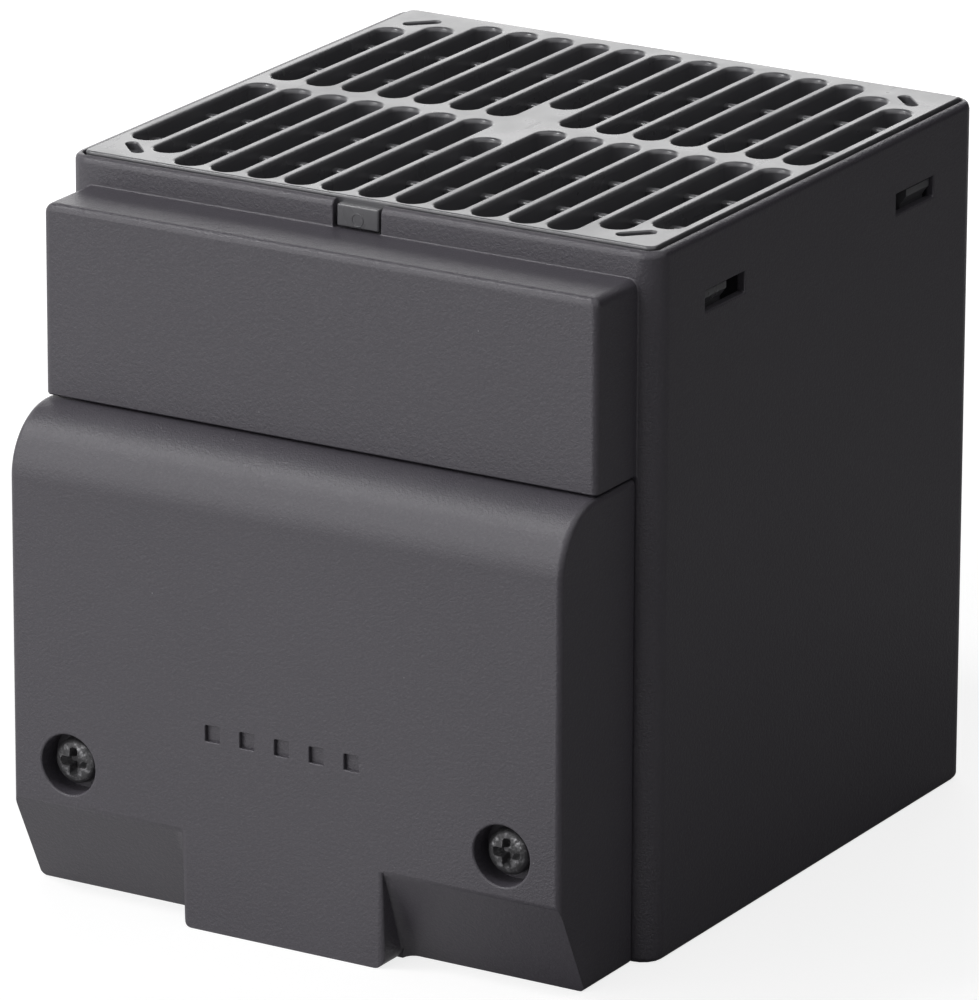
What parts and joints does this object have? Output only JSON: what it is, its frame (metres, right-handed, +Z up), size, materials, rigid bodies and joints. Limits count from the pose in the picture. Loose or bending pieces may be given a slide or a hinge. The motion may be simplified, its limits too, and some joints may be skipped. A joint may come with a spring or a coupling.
{
  "type": "enclosure fan heater",
  "caption": "Touch-safe fan heater for a control cabinet: square black duct with a slotted outlet grille on top, a screwed terminal cover in front and a rail clip behind.",
  "frame": {"origin": "middle of the footprint, on the plane of the housing's open lower rim", "axes": "+Z up towards the outlet grille, -Y towards the terminal cover (front), +Y towards the rail clip (back), +X to the right seen from the front"},
  "size_m": [0.085, 0.109, 0.0918],
  "materials": {
    "matte_black_plastic": "finely textured, matte",
    "smooth_black_plastic": "smooth, satin",
    "fan_plastic": "satin",
    "light_moulding": "matte",
    "carrier_plastic": "matte",
    "aluminium": "bare strip",
    "element_casing": "satin",
    "zinc_steel": "zinc plated",
    "dark_steel": "blackened",
    "brass": "bright",
    "bronze": "sintered",
    "magnet": "matte ferrite",
    "circuit_board": "satin lacquer"
  },
  "bodies": {
    "heater": {"housing": "matte_black_plastic", "terminal_cover": "matte_black_plastic", "outlet_grille": "smooth_black_plastic", "inlet_guard": "smooth_black_plastic", "fan_frame": "fan_plastic", "fan_bearing": "bronze", "fan_board": "circuit_board", "fan_stator": "zinc_steel", "heater_carrier": "carrier_plastic", "fin_pack_front": "aluminium", "fin_pack_middle": "aluminium", "fin_pack_rear": "aluminium", "ceramic_element_front": "element_casing", "ceramic_element_rear": "element_casing", "core_cap_left": "light_moulding", "core_cap_right": "light_moulding", "core_strap_left": "zinc_steel", "core_strap_right": "zinc_steel", "thermal_cutout": "fan_plastic", "terminal_block": "light_moulding", "terminal_cage_live": "brass", "terminal_cage_neutral": "brass", "terminal_cage_earth": "brass", "terminal_screw_live": "zinc_steel", "terminal_screw_neutral": "zinc_steel", "terminal_screw_earth": "zinc_steel", "block_screw_left": "zinc_steel", "block_screw_right": "zinc_steel", "strain_relief_bar": "light_moulding", "strain_relief_screw_left": "zinc_steel", "strain_relief_screw_right": "zinc_steel", "rail_clip": "carrier_plastic", "clip_screw_left": "zinc_steel", "clip_screw_right": "zinc_steel", "cover_screw_left": "dark_steel", "cover_screw_right": "dark_steel", "fan_screw_1": "zinc_steel", "fan_screw_2": "zinc_steel", "fan_screw_3": "zinc_steel", "fan_screw_4": "zinc_steel", "carrier_screw_1": "zinc_steel", "carrier_screw_2": "zinc_steel", "carrier_screw_3": "zinc_steel", "carrier_screw_4": "zinc_steel"},
    "rotor": {"fan_rotor": "fan_plastic", "rotor_magnet": "magnet", "fan_shaft": "zinc_steel"}
  },
  "joints": [
    {"name": "fan_spin", "type": "hinge", "parent": "heater", "child": "rotor", "pos_m": [0, 0.00435, 0.0139], "axis": [0, 0, 1], "continuous": true}
  ]
}
